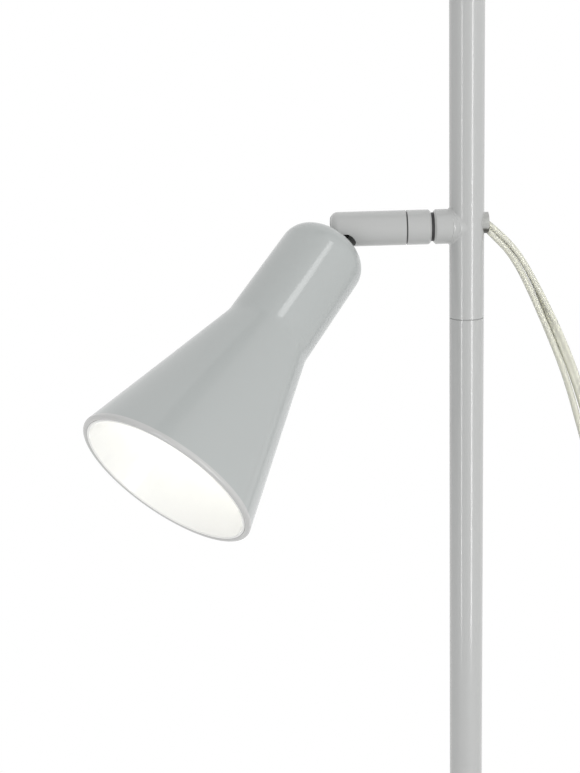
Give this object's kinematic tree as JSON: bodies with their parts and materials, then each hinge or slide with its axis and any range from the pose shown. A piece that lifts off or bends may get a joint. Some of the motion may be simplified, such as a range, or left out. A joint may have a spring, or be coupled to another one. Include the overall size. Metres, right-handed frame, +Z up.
{
  "type": "torchiere floor lamp",
  "caption": "Torchiere floor lamp: a round weighted base, a slim pole, a wide upward shade, and a trumpet reading shade that swivels and tilts on a side arm.",
  "frame": {"origin": "on the floor, under the pole's axis, at the centre of the base's underside", "axes": "+Z up along the pole; the reading arm points along -X and the cords leave the pole on the +X side; the reading shade is turned towards -Y"},
  "size_m": [0.3881, 0.366, 1.8095],
  "materials": {
    "grey_paint": "satin-gloss light grey paint",
    "white_inside": "matte white paint",
    "cast_iron": "rough black",
    "zinc_steel": "zinc plated",
    "black_nylon": "moulded black",
    "foam_pad": "dense black foam",
    "clear_rubber": "clear soft plastic",
    "clear_cord": "clear jacket over bare-looking strands",
    "white_socket": "white moulded plastic",
    "brass": "plain",
    "bulb_metal": "bright",
    "bulb_white": "white moulded plastic",
    "opal_globe": "opal, lit",
    "grey_switch": "light grey moulded plastic",
    "switch_button": "light grey moulded plastic"
  },
  "bodies": {
    "stand": {"floor_pad": "foam_pad", "base_weight": "cast_iron", "base_cover": "grey_paint", "base_washer": "zinc_steel", "base_bolt": "zinc_steel", "pole_foot_plug": "zinc_steel", "pole_lower": "grey_paint", "lower_coupler": "zinc_steel", "pole_middle": "grey_paint", "upper_coupler": "zinc_steel", "pole_upper": "grey_paint", "pole_top_plug": "zinc_steel", "arm_stub": "grey_paint", "friction_washer": "black_nylon", "swivel_spring_washer": "zinc_steel", "swivel_nut": "zinc_steel", "swivel_tube": "zinc_steel", "uplight_collar": "grey_paint", "uplight_nipple": "zinc_steel", "uplight_locknut": "zinc_steel", "uplight_shade": "grey_paint", "uplight_reflector": "white_inside", "uplight_lampholder": "white_socket", "uplight_socket_shell": "brass", "uplight_socket_contact": "brass", "uplight_bulb_cap": "bulb_metal", "uplight_bulb_body": "bulb_white", "uplight_bulb_globe": "opal_globe", "cord_grommet": "clear_rubber", "uplight_wire_inside": "clear_cord", "reading_wire_inside": "clear_cord", "reading_cord": "clear_cord", "uplight_cord": "clear_cord", "mains_cord": "clear_cord", "mains_cord_tail": "clear_cord", "mains_cord_coil": "clear_cord", "switch_base": "grey_switch", "switch_cover": "grey_switch", "switch_contacts": "brass", "switch_screws": "zinc_steel", "switch_reliefs": "clear_rubber", "mains_plug": "grey_switch", "mains_plug_pins": "bulb_metal", "mains_plug_relief": "clear_rubber"},
    "reading_arm": {"swivel_collar": "grey_paint", "knuckle": "grey_paint", "pivot_screw": "zinc_steel"},
    "reading_head": {"shade_lug": "black_nylon", "lug_washer": "zinc_steel", "lug_nut": "zinc_steel", "reading_shade": "grey_paint", "reading_reflector": "white_inside", "reading_lampholder": "white_socket", "reading_socket_shell": "brass", "reading_socket_contact": "brass", "reading_bulb_cap": "bulb_metal", "reading_bulb_body": "bulb_white", "reading_bulb_globe": "opal_globe"},
    "rocker_uplight": {"switch_rocker_uplight": "switch_button"},
    "rocker_reading": {"switch_rocker_reading": "switch_button"}
  },
  "joints": [
    {"name": "arm_swivel", "type": "hinge", "parent": "stand", "child": "reading_arm", "pos_m": [-0.025, 0, 1.1568], "axis": [-1, 0, 0], "range_deg": [-208.2, 121.8]},
    {"name": "shade_tilt", "type": "hinge", "parent": "reading_arm", "child": "reading_head", "pos_m": [-0.0647, 0, 1.1568], "axis": [0, 0.729, -0.6845], "range_deg": [-32.2, 57.8]},
    {"name": "uplight_switch", "type": "hinge", "parent": "stand", "child": "rocker_uplight", "pos_m": [0.178, 0.1045, 0.015], "axis": [1, 0, 0], "range_deg": [-16, 0]},
    {"name": "reading_switch", "type": "hinge", "parent": "stand", "child": "rocker_reading", "pos_m": [0.178, 0.1395, 0.015], "axis": [1, 0, 0], "range_deg": [-16, 0]}
  ]
}
